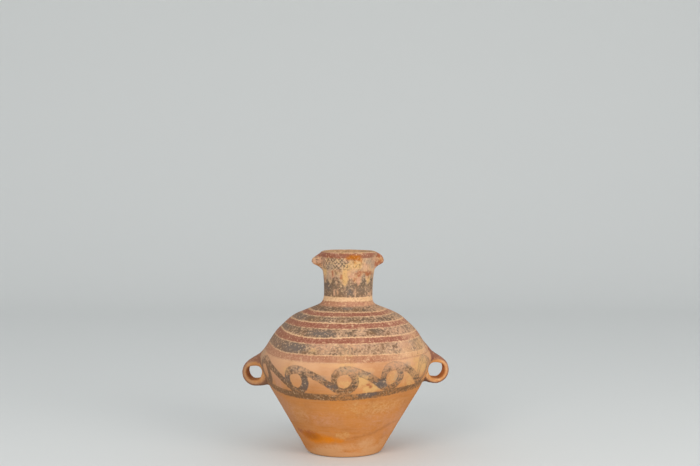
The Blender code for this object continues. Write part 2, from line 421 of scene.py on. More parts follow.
# Painting, in degrees round from the front toward +X, and millimetres up from the foot
def sway(turn, places):
    """A hand-drawn line's height round the pot, smoothly joined at the back; places is (degrees, height)."""
    stops = [(a - 360, z) for a, z in places] + list(places) + [(a + 360, z) for a, z in places]
    degrees, heights = np.array(stops).T
    slopes = np.gradient(heights, degrees)
    i = np.clip(np.searchsorted(degrees, turn) - 1, 0, len(degrees) - 2)
    gap = degrees[i + 1] - degrees[i]
    t = (turn - degrees[i]) / gap
    rise = heights[i + 1] - heights[i]
    blend = t * t * (3 - 2 * t)
    ease_in = t * (1 - t) ** 2 * gap * slopes[i]
    ease_out = t * t * (1 - t) * gap * slopes[i + 1]
    return heights[i] + rise * blend + ease_in - ease_out


# Lines that the bands follow: nominal height, then where the line runs round the pot
GUIDES = (
    (281.0, ((-160, 281), (-80, 281), (0, 280.5), (80, 281))),
    (272.5, ((-160, 272), (-80, 272), (0, 273), (80, 272))),
    (264.0, ((-160, 264), (-80, 264), (0, 263.5), (80, 265))),
    (256.3, ((-160, 256), (-80, 257), (-40, 256.5), (0, 256.5), (40, 256), (80, 256.5), (130, 257))),
    (250.0, ((-160, 250), (-80, 251), (-40, 250), (0, 250), (40, 250), (80, 250.5), (130, 250))),
    (241.0, ((-160, 241), (-80, 242), (-40, 241), (0, 241), (40, 241), (80, 241), (130, 241.5))),
    (232.0, ((-160, 232), (-80, 233), (-40, 232), (0, 232), (40, 232.5), (80, 232), (130, 232))),
    (219.0, ((-160, 219), (-110, 222), (-80, 226), (-60, 222.5), (-40, 218.3), (-25, 217), (-10, 218),
             (5, 219.3), (25, 219.3), (45, 218.5), (80, 219), (130, 220))),
    (209.5, ((-160, 209), (-110, 212), (-80, 214), (-60, 211), (-40, 208.7), (-25, 208), (-10, 209.5),
             (5, 209.5), (25, 210), (45, 209.5), (80, 210), (130, 211))),
    (191.0, ((-160, 191), (-110, 197), (-80, 199), (-60, 194), (-48, 190.7), (-35, 190), (0, 191),
             (25, 190.5), (45, 189.5), (80, 190), (130, 192))),
    (180.0, ((-160, 180), (-110, 184), (-80, 186), (-60, 181.5), (-40, 179.7), (-20, 178.8), (0, 179.5),
             (25, 180), (45, 181), (80, 182), (130, 181))),
    (118.0, ((-160, 119), (-110, 127), (-78, 130), (-60, 123), (-40, 118), (-20, 117.3), (0, 118),
             (20, 121), (42, 125.7), (60, 127.5), (80, 129), (100, 127), (130, 121))),
)


def hand_height(turn, height):
    """Height in the painter's own terms, so that each band keeps its nominal heights as it sways."""
    lines = [(nominal, sway(turn, places)) for nominal, places in GUIDES]
    lines = [(lines[0][0] + 100, lines[0][1] + 100)] + lines + [(lines[-1][0] - 130, lines[-1][1] - 130)]
    result = np.zeros_like(height)
    for (upper, upper_line), (lower, lower_line) in zip(lines, lines[1:]):
        share = (height - lower_line) / (upper_line - lower_line)
        inside = (share >= 0) & (share <= 1)
        result[inside] = (lower + share * (upper - lower))[inside]
    return result


def stroke_depth(u, v, path):
    """How deep a point lies inside a brush stroke, in millimetres; path is (u, v, half width)."""
    depth = np.full(u.shape, -1e3)
    for (u0, v0, w0), (u1, v1, w1) in zip(path, path[1:]):
        du, dv = u1 - u0, v1 - v0
        t = np.clip(((u - u0) * du + (v - v0) * dv) / (du * du + dv * dv), 0, 1)
        gap = np.hypot(u - u0 - t * du, v - v0 - t * dv)
        depth = np.maximum(depth, w0 + t * (w1 - w0) - gap)
    return depth


# One running scroll: (degrees from its eye, millimetres above its eye, half width in millimetres)
SCROLL = (
    (-4.5, -14, 3.8), (-6.0, -7, 4.8), (-6.7, 2, 5.1), (-5.9, 11, 5.9), (-3.4, 17.5, 6.9), (0.8, 20.0, 7.4),
    (5.5, 18.6, 7.0), (10.5, 14, 6.4), (15.5, 8, 6.2), (20, 0.5, 6.2), (24.5, -8, 6.2), (28.5, -15, 6.2),
    (33.0, -18.5, 6.0), (37.0, -14.0, 6.4), (39.4, -7, 6.6), (40.2, 1, 6.2), (39.0, 9, 5.4),
    (36.6, 15, 3.4),
)
SCROLL_STEP = 33.0
# Eye of each scroll: (degrees round, height, size)
EYES = (
    (-103, 153, 1.00), (-69.5, 151, 1.08), (-35.2, 145.2, 0.98), (-0.8, 146.8, 1.00), (32.2, 150.5, 1.04),
    (64, 154.5, 1.00), (96, 152, 0.98), (129, 149, 1.00), (161.5, 148, 1.02), (194, 148, 0.98),
    (226, 150, 1.00),
)
MM_PER_DEGREE = 2.6


def scroll_depth(turn, height):
    """How deep each point lies inside the row of scrolls."""
    depth = np.full(turn.shape, -1e3)
    for i, (degrees, eye_height, size) in enumerate(EYES):
        following = EYES[(i + 1) % len(EYES)]
        stretch = ((following[0] - degrees) % 360) / SCROLL_STEP
        climb = following[1] - eye_height
        path = []
        for across, up, half_width in smooth_curve(SCROLL, 2):
            lift = climb * min(max(across / SCROLL_STEP, 0.0), 1.0)
            path.append((across * MM_PER_DEGREE * stretch, up * size + lift, half_width))
        u = ((turn - degrees + 180) % 360 - 180) * MM_PER_DEGREE
        near = (u > -45) & (u < 130) & (np.abs(height - eye_height) < 50)
        depth[near] = np.maximum(depth[near], stroke_depth(u[near], height[near] - eye_height, path))
    return depth


# Dark teeth on the band at the foot of the neck: (degrees round, tip height, half width of the base)
TEETH = (
    (-84, 322, 15), (-58, 314, 18), (-29, 324, 19), (7, 317, 16), (36, 323, 15), (66, 325, 17),
    (98, 320, 15), (128, 318, 14), (158, 322, 14), (188, 319, 14), (218, 321, 14), (248, 318, 14),
)
TOOTH_BASE = 299.0
NECK_MM_PER_DEGREE = 0.79


def teeth_depth(turn, height):
    """How deep each point lies inside the dark teeth on the neck."""
    depth = np.full(turn.shape, -1e3)
    for degrees, tip, half_width in TEETH:
        u = ((turn - degrees + 180) % 360 - 180) * NECK_MM_PER_DEGREE
        half = half_width * NECK_MM_PER_DEGREE
        tall = tip - TOOTH_BASE
        slant = math.hypot(half, tall)
        side = (half * (tip - height) / tall - np.abs(u)) * tall / slant
        depth = np.maximum(depth, np.minimum(side, height - TOOTH_BASE + 2))
    return depth - 0.6


def store(piece, name, values):
    """Keep one value at each vertex of a piece."""
    attribute = piece.data.attributes.new(name, "FLOAT", "POINT")
    attribute.data.foreach_set("value", values.astype(np.float32))


def spots(turn, height, places):
    """Soft patches: (degrees round, height, half width in degrees, half height in millimetres, strength)."""
    total = np.zeros(turn.shape)
    for degrees, middle, across, up, strength in places:
        u = ((turn - degrees + 180) % 360 - 180) / across
        v = (height - middle) / up
        share = np.exp(-((u * u + v * v) ** 1.5))
        total = np.where(np.abs(strength * share) > np.abs(total), strength * share, total)
    return total


# How worn the black and the red are, round the pot: (degrees, threshold)
BLACK_WEAR = (
    (-160, 0.53), (-120, 0.50), (-80, 0.465), (-45, 0.460), (-25, 0.472), (0, 0.495), (30, 0.50),
    (60, 0.53), (100, 0.55), (140, 0.54),
)
RED_WEAR = (
    (-160, 0.45), (-120, 0.43), (-80, 0.42), (-45, 0.41), (-10, 0.43), (20, 0.43), (45, 0.46), (65, 0.51),
    (100, 0.50), (140, 0.47),
)

# Where the black is worn away more (above nothing) or left denser (below nothing), as soft patches
BLACK_WORN = (
    (-18, 201, 13, 10, 0.10), (-5, 222, 6, 9, 0.05), (12, 224, 6, 9, 0.05), (48, 226, 10, 9, 0.05),
    (14, 199, 30, 14, 0.045), (8, 206, 20, 4, 0.09), (48, 200, 7, 10, 0.20), (75, 200, 6, 10, 0.10),
    (-3, 200, 5, 12, 0.05), (-42, 198, 13, 8, -0.09), (-17, 225, 12, 5, -0.06), (-68, 226, 12, 6, -0.04),
    (25, 228, 6, 4, -0.07), (62, 196, 9, 7, 0.03), (30, 198, 10, 3, -0.01), (3, 226, 5, 4, -0.04),
    (-20, 259, 20, 3, -0.04), (20, 259, 16, 2.5, -0.08), (-50, 246, 30, 4, -0.03), (10, 246, 16, 3, -0.04),
    (48, 245, 16, 3, -0.06), (17, 122, 7, 7, -0.10), (-35, 117, 22, 6, -0.05), (58, 122, 20, 7, -0.09),
    (-28, 138, 4, 18, -0.08), (-44, 145, 4, 10, -0.04), (-43, 163, 5, 8, 0.10), (-66, 138, 7, 18, -0.08),
    (4, 138, 4, 10, -0.04), (25, 139, 5, 9, -0.10), (62, 158, 9, 20, 0.08), (38, 172, 10, 10, 0.02),
    (-8, 138, 4, 8, -0.06), (14, 158, 6, 6, -0.05), (60, 140, 6, 10, -0.05), (0, 291, 100, 11, -0.045),
    (-60, 298, 17, 14, -0.09), (-45, 295, 8, 8, -0.06), (-34, 289, 2.6, 6, 0.20), (-25, 290, 1.8, 7, 0.18),
    (-8, 290, 9, 8, 0.03), (16.5, 287, 2.2, 7, 0.16), (40, 293, 16, 9, -0.06), (62, 285, 12, 4, 0.06),
    (-28, 312, 8, 10, 0.05), (-32, 168, 11, 8, 0.08), (2, 168, 11, 9, 0.10), (34, 172, 12, 11, 0.09),
    (8, 312, 8, 7, 0.04), (38, 316, 7, 6, 0.03), (-64, 173, 10, 8, 0.06), (-18, 154, 8, 7, 0.05),
    (14, 156, 7, 6, 0.06), (68, 305, 12, 14, -0.04), (-52, 316, 9, 6, 0.25), (0, 120, 8, 6, 0.03),
    (-30, 150, 46, 24, -0.012), (45, 292, 34, 9, -0.060), (38, 300, 12, 14, -0.09),
    (66, 300, 10, 14, -0.08),
)
# How worn the net round the top of the neck is
NET_WEAR = (
    (-160, 0.54), (-110, 0.52), (-70, 0.50), (-50, 0.475), (-20, 0.475), (0, 0.49), (15, 0.52), (30, 0.55),
    (70, 0.57), (110, 0.54), (150, 0.52),
)
# Where the red is worn away more or left denser
RED_WORN = (
    (-4, 186, 6, 8, 0.06), (60, 214, 14, 6, 0.07), (64, 186, 14, 8, 0.20), (38, 186, 14, 8, 0.10),
    (50, 186, 10, 8, 0.16), (12, 215, 2.5, 6, 0.10), (-7, 214, 3, 6, 0.04), (46, 236, 3, 3, 0.12),
    (14, 234, 4, 2, 0.08), (-25, 214, 14, 5, -0.05), (-60, 186, 14, 6, -0.06), (-70, 266, 30, 5, -0.04),
    (0, 355, 90, 5, -0.03), (10, 268, 70, 5, 0.045), (-62, 355, 22, 4, -0.05), (-8, 354, 5, 5, 0.02),
    (34, 353, 5, 4, 0.02), (58, 355, 9, 3, -0.06),
)

# Tones of the bare clay in soft patches: yellow, pink and grey, the grey also a painted shade on the left
# flank
YELLOW = (
    (-8, 318, 7.5, 16, 1.0), (-8, 305, 4, 7, 0.8), (-2, 336, 13, 8, 0.9), (18, 338, 14, 8, 0.9),
    (2, 326, 8, 8, 0.6), (-66, 324, 11, 8, 0.7), (55, 309, 9, 8, 0.9), (11, 150, 6, 14, 0.9),
    (18, 134, 7, 9, 0.8), (0, 142, 5, 10, 0.5), (34, 150, 6, 14, 0.4), (62, 166, 12, 18, 0.7),
    (-28, 281, 30, 2, 0.4), (-20, 302, 6, 5, 0.6), (-24, 197, 4, 8, 0.6), (-42, 160, 3, 10, 0.5),
    (52, 150, 10, 24, 0.5), (20, 95, 34, 18, 0.25), (68, 204, 10, 18, 0.5), (-2, 44, 10, 8, 0.35),
    (-22, 344, 6, 5, 0.6), (48, 276, 20, 4, 0.6), (-75, 242, 14, 10, 0.3), (0, 185, 6, 30, 0.4),
)
PINK = (
    (-34, 313, 7, 6, 0.8), (24, 310, 5.5, 9, 1.0), (6, 321, 9, 8, 0.7), (-58, 160, 12, 30, 0.5),
    (-54, 140, 6, 20, 0.6), (-30, 186, 12, 6, 0.4), (-70, 190, 14, 24, 0.4), (70, 340, 18, 12, 0.7),
    (42, 335, 12, 9, 0.5), (-70, 345, 16, 9, 0.8), (36, 172, 10, 8, 0.4), (40, 70, 30, 26, 0.2),
    (-34, 289, 3.4, 7, 0.9), (-47, 322, 4, 7, 0.7), (46, 222, 30, 24, 0.6), (12, 205, 20, 5, 0.5),
    (-18, 205, 12, 6, 0.7), (20, 268, 40, 4, 0.5), (-70, 90, 20, 30, 0.5), (-4, 345, 5, 5, 0.7),
    (-84, 342, 9, 8, 0.9), (60, 60, 16, 30, 0.4), (-20, 75, 20, 14, 0.25),
)
GREY_AND_SHADE = (
    (-52, 316, 12, 13, 0.5), (-44, 334, 14, 7, 0.8), (-18, 340, 18, 8, 0.5), (48, 343, 11, 6, 1.1),
    (64, 336, 16, 9, 0.7), (36, 313, 5, 7, 0.9), (-40, 200, 12, 7, 0.9), (-20, 224, 12, 5, 0.7),
    (-78, 225, 12, 14, 0.8), (13, 160, 5, 5, 0.8), (38, 150, 4, 14, 0.5), (-16, 153, 6, 5, 0.6),
    # The long patch at -84 degrees is painted shade with a cool cast over the left flank
    (-33, 165, 6, 5, 0.6), (44, 172, 4, 4, 0.6), (-84, 180, 12, 60, 0.7), (-74, 300, 12, 16, 0.5),
    (80, 300, 10, 16, 0.4), (0, 262, 12, 3, 0.7), (5, 291, 12, 8, 0.6), (-70, 246, 20, 8, 0.6),
    (26, 140, 4, 7, 0.7), (76, 250, 12, 8, 0.5), (-48, 297, 8, 7, 0.7), (2, 168, 6, 5, 0.6),
    (35, 293, 18, 8, 0.4),
)
# Where the black paint has a slate tone
SLATE = (
    (25, 141, 7, 8, 1.1), (-28, 138, 5, 14, 0.9), (-43, 148, 4, 9, 0.7), (-10, 137, 5, 7, 0.9),
    (17, 123, 7, 5, 1.0), (-44, 200, 13, 8, 0.8), (-62, 205, 12, 12, 0.7), (-72, 232, 14, 14, 0.8),
    (-60, 250, 14, 10, 0.7), (5, 292, 12, 8, 0.5), (-58, 298, 10, 9, 0.7), (-22, 226, 12, 5, 0.6),
    (56, 200, 5, 8, 0.6), (-84, 160, 10, 20, 0.6),
)
# Orange stains at the lip and low on the left, and the dull red stains, one of which also stands for a
# painted shade under the right lug
STAIN = (
    (11, 352, 15, 5, 1.2), (1, 350, 7, 4, 1.0), (20, 348, 9, 4, 1.0), (13, 342, 4, 4, 0.6),
    (27, 343, 2, 2, 0.7), (-34, 36, 15, 10, 1.35), (-20, 35, 11, 7, 1.15), (-46, 40, 9, 8, 0.9),
    (-8, 34, 8, 5, 0.65), (50, 320, 12, 3, 0.4), (88, 345, 5, 5, 0.45), (-90, 336, 5, 4, 0.5),
)
RED_STAIN_AND_SHADE = (
    (50, 322, 11, 5, 1.0), (66, 321, 7, 4, 0.7), (23, 322, 9, 6, 0.85), (35, 324, 8, 3, 0.6),
    (15.5, 141, 1.5, 2.4, 0.9), (17.5, 137, 1.3, 3.4, 1.0), (-38, 323, 2.4, 6, 0.95),
    (-16, 316, 3.4, 7, 0.6), (-26, 307, 4.5, 12, 0.6), (15, 314, 3.4, 7, 0.7), (-3, 356, 6, 3, 0.5),
    (-30, 319, 3, 5, 0.4), (-41, 40, 14, 9, 0.9), (-54, 45, 9, 5, 0.7), (10, 308, 8, 7, 0.45),
    # The patch at 88 degrees and 338 mm darkens the right lug's underside: partly red stain, partly painted
    # shade
    (-44, 352, 14, 3, 0.5), (88, 338, 9, 6, 1.1), (92, 352, 9, 5, 0.8), (-20, 350, 10, 3, 0.4),
    (-70, 312, 8, 6, 0.3),
)
# Where the lower body is paler
PALE = (
    (0, 2, 75, 8, 1.3), (28, 24, 13, 13, 0.9), (38, 12, 20, 10, 0.9), (60, 20, 14, 14, 0.6),
    (8, 20, 12, 8, 0.5), (-24, 12, 22, 8, 1.0), (-12, 20, 20, 6, 0.8), (-46, 80, 14, 16, 0.3),
    (45, 100, 20, 12, 0.2), (25, 190, 40, 5, 0.35), (58, 190, 14, 12, 0.6), (-5, 176, 14, 5, 0.5),
    (14, 166, 6, 5, 0.4),
)
# A brown smear along the lower right, as a stroke: (degrees, height, half width in millimetres)
SMEAR = ((2, 37, 1.5), (12, 39.5, 2.5), (32, 46, 3.0), (49, 58, 3.0), (63, 62, 2.0))


# Paint of each strap: (height, standoff, swing, where its red begins in millimetres out from the strap's
# middle, how strong the painted highlight on its faces is)
STRAP_PAINT = (
    (LEFT_HANDLE_HEIGHT, LEFT_STANDOFF, math.pi - HANDLE_SWING, -0.6, 0.55),
    (RIGHT_HANDLE_HEIGHT, RIGHT_STANDOFF, HANDLE_SWING, -0.4, 1.0),
)


def handle_paint(places, height, standoff, turn):
    """How far out of the loop and how far round it each point of one handle lies."""
    along = places[:, 0] * math.cos(turn) + places[:, 1] * math.sin(turn)
    side = np.abs(places[:, 1] * math.cos(turn) - places[:, 0] * math.sin(turn))
    across = along - outer_radius(height) - standoff
    up = places[:, 2] - height
    out = (np.hypot(across, up) - LOOP_RADIUS + STRAP_THICKNESS / 2) * 1000
    angle = np.degrees(np.arctan2(up, across))
    return out, angle, side * 1000


def paint_plan(pot):
    """Store where each paint lies on the pot, for the finish to read."""
    places = vertex_places(pot)
    height = places[:, 2] * 1000
    places[:, 0] -= lean_at(places[:, 2])
    turn = np.degrees(np.arctan2(places[:, 0], -places[:, 1]))
    reach = np.hypot(places[:, 0], places[:, 1]) - outer_radius(places[:, 2])
    outside = np.clip(reach * 1000 / 1.5 + 2.5, 0, 1)
    outside[places[:, 2] < 0.0005] = 0
    on_handle = np.clip((reach * 1000 - 3.0) / 3, 0, 1) * (height < 250)
    drawn = hand_height(turn, height)
    store(pot, "hand_height", drawn)
    store(pot, "scroll", scroll_depth(turn, height))
    store(pot, "teeth", teeth_depth(turn, height))
    store(pot, "outside", outside)
    store(pot, "on_handle", on_handle)
    store(pot, "black_wear", sway(turn, BLACK_WEAR) + spots(turn, drawn, BLACK_WORN))
    store(pot, "red_wear", sway(turn, RED_WEAR) + spots(turn, drawn, RED_WORN))
    store(pot, "net_wear", sway(turn, NET_WEAR))
    for name, patches in (("yellow", YELLOW), ("pink", PINK), ("grey_and_shade", GREY_AND_SHADE), ("slate", SLATE),
                          ("stain", STAIN), ("red_stain_and_shade", RED_STAIN_AND_SHADE), ("pale", PALE)):
        store(pot, name, spots(turn, height, patches))
    smear = [(degrees * MM_PER_DEGREE, middle, half_width) for degrees, middle, half_width in SMEAR]
    store(pot, "smear", stroke_depth(turn * MM_PER_DEGREE, height, smear))
    shares = {name: np.zeros(len(places)) for name in ("red", "under", "inner", "edge")}
    for handle_height, standoff, swing, red_from, highlight_strength in STRAP_PAINT:
        out, angle, side = handle_paint(places, handle_height, standoff, swing)
        near = (np.abs(out) < 30) & (side < 24) & (reach > 0.001)
        upper = np.clip((angle + 30) / 60, 0.88, 1) * np.clip((175 - angle) / 20, 0, 1)
        # Where the painted highlight lies: the front and back faces of each strap
        edge = np.clip((side - 12) / 3, 0, 1) * np.clip((2.5 - out) / 2, 0, 1)
        laid = {
            "red": upper * np.clip((out - red_from + np.clip((angle - 50) / 15, 0, 4)) / 1.8, 0, 1),
            # Painted shadow along the underside of each loop
            "under": np.clip((out - 1.4) / 1.2, 0, 1) * np.clip((-15 - angle) / 25, 0, 1),
            "inner": np.clip((-0.5 - out) / 3, 0, 1),
            "edge": edge * np.clip((75 - angle) / 30, 0, 1) * highlight_strength,
        }
        for name, share in laid.items():
            shares[name] = np.where(near, np.maximum(shares[name], share), shares[name])
    # Painted shade darkening the whole left flank
    store(pot, "flank_shade", spots(turn, height, ((-85, 150, 42, 130, 1.0),)))
    for name, share in shares.items():
        store(pot, "handle_" + name, share)


# Stage
PAPER = (0.70, 0.71, 0.70, 1)
FLOOR_SIZE = (9, 7)
BACKDROP_HEIGHT = 5
BACKDROP_SWEEP = 1.2

# Lights: (name, place, size, power in watts, colour)
ROOM_LIGHT = (0.90, 0.93, 0.95, 1)
ROOM_BRIGHTNESS = 0.74
LIGHT_AIM = (0, 0, 0.18)
LIGHTS = (("window light", (-1.1, -2.7, 1.7), 1.6, 36, (1.0, 0.98, 0.95)),
          ("front fill", (2.0, -2.2, 1.1), 1.8, 38, (1.0, 0.97, 0.93)))


def set_stage():
    """A plain pale floor that sweeps up behind the pot."""
    bpy.ops.object.select_all(action="DESELECT")
    bpy.ops.mesh.primitive_plane_add(size=1, location=(0, 0, -0.0004))
    floor = bpy.context.object
    floor.name = "pale_floor"
    floor.scale = (*FLOOR_SIZE, 1)
    bpy.ops.object.transform_apply(location=True, rotation=True, scale=True)
    bpy.ops.object.mode_set(mode="EDIT")
    bpy.ops.mesh.select_mode(type="EDGE")
    bpy.ops.mesh.select_all(action="DESELECT")
    bpy.ops.object.mode_set(mode="OBJECT")
    for edge in floor.data.edges:
        ends = [floor.data.vertices[i].co.y for i in edge.vertices]
        edge.select = min(ends) > FLOOR_SIZE[1] / 2 - 0.1
    bpy.ops.object.mode_set(mode="EDIT")
    draw_out((0, 0, BACKDROP_HEIGHT))
    bpy.ops.object.mode_set(mode="OBJECT")
    sweep = floor.modifiers.new("sweep", "BEVEL")
    sweep.width = BACKDROP_SWEEP
    sweep.segments = 16
    apply_modifiers(floor)
    bpy.ops.object.shade_smooth()
    paper = bpy.data.materials.new("pale paper")
    paper.use_nodes = True
    shader = paper.node_tree.nodes["Principled BSDF"]
    shader.inputs["Base Color"].default_value = PAPER
    shader.inputs["Roughness"].default_value = 0.8
    floor.data.materials.append(paper)


def hang_light(name, place, size, power, warmth):
    """A soft round light turned toward the pot."""
    lamp = bpy.data.lights.new(name, "AREA")
    lamp.shape = "DISK"
    lamp.size = size
    lamp.energy = power
    lamp.color = warmth
    holder = bpy.data.objects.new(name, lamp)
    bpy.context.scene.collection.objects.link(holder)
    holder.location = place
    aim = np.array(LIGHT_AIM) - np.array(place)
    holder.rotation_euler = (math.atan2(math.hypot(aim[0], aim[1]), -aim[2]), 0, math.atan2(-aim[0], aim[1]))


def light_studio():
    """Even room light and two soft lamps in front."""
    bpy.context.scene.view_settings.view_transform = "Standard"
    world = bpy.data.worlds.new("soft room")
    world.use_nodes = True
    world.node_tree.nodes["Background"].inputs["Color"].default_value = ROOM_LIGHT
    world.node_tree.nodes["Background"].inputs["Strength"].default_value = ROOM_BRIGHTNESS
    bpy.context.scene.world = world
    for light in LIGHTS:
        hang_light(*light)


# Camera, from the photograph's own geometry
CAMERA_PLACE = (0.0104, -2.376, 0.507)
CAMERA_PITCH = math.radians(2.765)
FOCAL_PIXELS = 1325.0
FRAME_WIDTH = 700
SENSOR = 36.0


def set_camera():
    """The camera, level across and tipped slightly down."""
    eye = bpy.data.cameras.new("camera")
    eye.sensor_width = SENSOR
    eye.lens = FOCAL_PIXELS * SENSOR / FRAME_WIDTH
    holder = bpy.data.objects.new("camera", eye)
    bpy.context.scene.collection.objects.link(holder)
    holder.location = CAMERA_PLACE
    holder.rotation_euler = (math.pi / 2 - CAMERA_PITCH, 0, 0)
    bpy.context.scene.camera = holder


class Finish:
    """A small hand for wiring a finish's nodes."""

    def __init__(self, name):
        self.material = bpy.data.materials.new(name)
        self.material.use_nodes = True
        self.tree = self.material.node_tree
        self.shader = self.tree.nodes["Principled BSDF"]
        self.place = self.tree.nodes.new("ShaderNodeTexCoord").outputs["Object"]

    def feed(self, socket, value):
        """Link or set a socket."""
        if isinstance(value, bpy.types.NodeSocket):
            self.tree.links.new(value, socket)
        elif isinstance(value, tuple) and len(value) == 3:
            socket.default_value = (*value, 1.0) if len(socket.default_value) == 4 else value
        else:
            socket.default_value = value

    def plan(self, name):
        """A value stored on the piece."""
        node = self.tree.nodes.new("ShaderNodeAttribute")
        node.attribute_name = name
        return node.outputs["Fac"]

    def math(self, operation, first, second=0.0, third=0.0):
        """One step of arithmetic."""
        node = self.tree.nodes.new("ShaderNodeMath")
        node.operation = operation
        for socket, value in zip(node.inputs, (first, second, third)):
            self.feed(socket, value)
        return node.outputs[0]

    def span(self, value, low, high, to_low=0.0, to_high=1.0):
        """Spread a value from one range onto another, held at the ends."""
        node = self.tree.nodes.new("ShaderNodeMapRange")
        for socket, given in zip(node.inputs, (value, low, high, to_low, to_high)):
            self.feed(socket, given)
        return node.outputs[0]

    def stretched(self, scale):
        """The place on the piece, stretched along the axes."""
        node = self.tree.nodes.new("ShaderNodeMapping")
        self.feed(node.inputs["Vector"], self.place)
        node.inputs["Scale"].default_value = scale
        return node.outputs[0]

    def grain(self, size, detail=3.0, roughness=0.55, scale=(1, 1, 1), shift=0.0):
        """Cloudy noise whose lumps are about this size in metres; about 0.3 to 0.7."""
        node = self.tree.nodes.new("ShaderNodeTexNoise")
        node.noise_dimensions = "4D"
        self.feed(node.inputs["Vector"], self.stretched(scale))
        node.inputs["W"].default_value = shift
        node.inputs["Scale"].default_value = 1.0 / size
        node.inputs["Detail"].default_value = detail
        node.inputs["Roughness"].default_value = roughness
        return node.outputs[0]

    def blend(self, share, first, second):
        """Mix the second colour over the first."""
        node = self.tree.nodes.new("ShaderNodeMix")
        node.data_type = "RGBA"
        self.feed(node.inputs["Factor"], share)
        self.feed(node.inputs[6], first)
        self.feed(node.inputs[7], second)
        return node.outputs[2]

    def times(self, first, second):
        """The product of two values."""
        return self.math("MULTIPLY", first, second)

    def most(self, first, second):
        """The larger of two shares, where two marks overlap."""
        return self.math("MAXIMUM", first, second)

    def roughen(self, value, noise, reach):
        """Push a value up and down by noise, so that the edge it draws is ragged."""
        return self.math("MULTIPLY_ADD", self.math("SUBTRACT", noise, 0.5), reach, value)

    def bands(self, height, stripes, soft):
        """One where the height is within a stripe, falling softly to nothing at its edges."""
        total = 0.0
        for low, high, strength in stripes:
            rise = self.span(height, low - soft, low + soft, 0.0, strength)
            fall = self.span(height, high - soft, high + soft, 1.0, 0.0)
            stripe = self.times(rise, fall)
            total = stripe if isinstance(total, float) else self.most(total, stripe)
        return total


# Stripes by nominal height in millimetres: (lower edge, upper edge, strength)
BLACK_STRIPES = (
    (257.2, 264.5, 0.95), (242.0, 250.2, 0.95), (220.4, 232.1, 0.95), (192.0, 208.8, 0.95),
    (112.6, 124.0, 1.0), (281.0, 300.5, 0.9),
)
RED_STRIPES = (
    (264.0, 272.5, 0.6), (250.5, 255.6, 1.0), (232.4, 240.2, 1.0), (209.5, 218.2, 1.0),
    (180.0, 190.4, 0.62), (350.0, 359.0, 0.95),
)
RED_LINES = ((179.0, 181.2, 0.5),)
# How far the edges of bands and of thin lines stray, in millimetres
BAND_SHAKE = 4.6
LINE_SHAKE = 2.4
CREAM_STRIPES = (
    (255.7, 256.8, 0.9), (240.5, 241.7, 0.9), (218.5, 219.8, 1.0), (190.6, 191.7, 0.6), (272.5, 281.0, 1.0),
)
# Under each red band the cream is left only as a row of dots
CREAM_DOTS = (
    (249.8, 250.9, 1.0), (231.7, 232.8, 1.0), (208.7, 209.9, 0.9), (179.0, 180.2, 0.5),
)

# Colours of the fired clay and its paints
CLAY = (0.580, 0.220, 0.050)
PALE_CLAY = (0.665, 0.385, 0.222)
DARK_CLAY = (0.40, 0.150, 0.045)
NECK_CLAY = (0.57, 0.375, 0.220)
INSIDE_DARKER = (0.40, 0.23, 0.12)
# Painted shade of the left flank
FLANK_SHADE = (0.33, 0.175, 0.095)
FOOT_CLAY = (0.66, 0.36, 0.17)
CREAM_SLIP = (0.76, 0.49, 0.275)
YELLOW_CLAY = (0.68, 0.40, 0.155)
PINK_CLAY = (0.62, 0.32, 0.20)
GREY_CLAY = (0.34, 0.26, 0.19)
STAIN_ORANGE = (0.70, 0.215, 0.008)
STAIN_BROWN = (0.36, 0.105, 0.010)
STAIN_RED = (0.33, 0.085, 0.035)
RED_OCHRE = (0.245, 0.072, 0.045)
RED_DUST = (0.36, 0.150, 0.100)
BLACK_PAINT = (0.085, 0.060, 0.042)
BROWN_PAINT = (0.17, 0.088, 0.040)
THIN_PAINT = (0.29, 0.205, 0.145)
THIN_BROWN = (0.30, 0.152, 0.066)
NECK_PAINT = (0.150, 0.108, 0.072)
PURPLE_PAINT = (0.127, 0.097, 0.083)
SLATE_PAINT = (0.098, 0.088, 0.086)
HANDLE_RED = (0.20, 0.075, 0.055)
# Painted shadow under each loop
HANDLE_UNDER_SHADE = (0.085, 0.045, 0.030)
# Painted highlight on the faces of the straps
HANDLE_HIGHLIGHT = (0.74, 0.43, 0.21)
HANDLE_ORANGE = (0.64, 0.26, 0.065)

# The net of thin dark lines round the top of the neck
NET_PITCH = 7.0
NET_LINE = 1.05
NET_LOW = 329.0
NET_HIGH = 349.5
NECK_RADIUS = 46.0
NECK_LEAN = 0.0082


